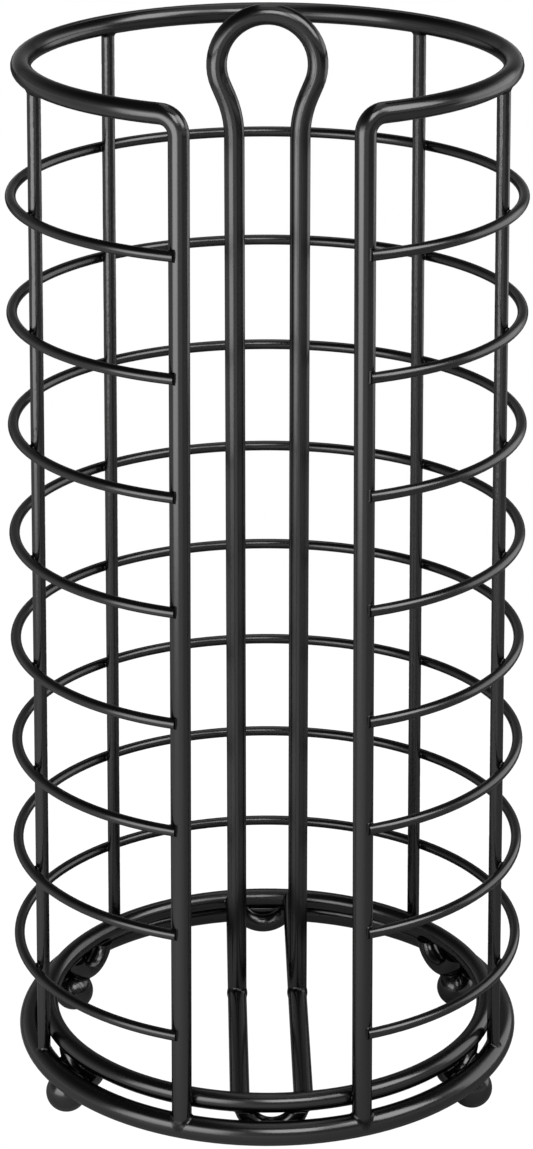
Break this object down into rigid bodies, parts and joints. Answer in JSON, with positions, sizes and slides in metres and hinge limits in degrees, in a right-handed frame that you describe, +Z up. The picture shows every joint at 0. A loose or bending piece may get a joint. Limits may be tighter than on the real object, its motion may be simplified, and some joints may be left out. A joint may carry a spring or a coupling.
{
  "type": "toilet paper holder",
  "caption": "Free-standing black wire cage that stores stacked toilet rolls over a hairpin post with a handle loop, open at the front and standing on ball feet.",
  "frame": {"origin": "centre of the base at floor level, under the post", "axes": "+Z up along the post, the cage's open front faces -Y, +X to the right seen from the front"},
  "size_m": [0.1596, 0.1589, 0.3398],
  "materials": {
    "black_coat": "satin"
  },
  "bodies": {
    "root": {"rim_and_uprights": "black_coat", "hoop_1": "black_coat", "hoop_2": "black_coat", "hoop_3": "black_coat", "hoop_4": "black_coat", "hoop_5": "black_coat", "hoop_6": "black_coat", "hoop_7": "black_coat", "hoop_8": "black_coat", "side_stay_left": "black_coat", "side_stay_right": "black_coat", "rear_stay_left": "black_coat", "rear_stay_right": "black_coat", "base_ring": "black_coat", "roll_rest_ring": "black_coat", "bracket_front": "black_coat", "bracket_front_left": "black_coat", "bracket_front_right": "black_coat", "bracket_rear": "black_coat", "bracket_rear_left": "black_coat", "bracket_rear_right": "black_coat", "foot_front_left": "black_coat", "foot_front_right": "black_coat", "foot_rear_left": "black_coat", "foot_rear_right": "black_coat", "floor_bar_left": "black_coat", "floor_bar_right": "black_coat", "centre_post": "black_coat"}
  },
  "joints": []
}
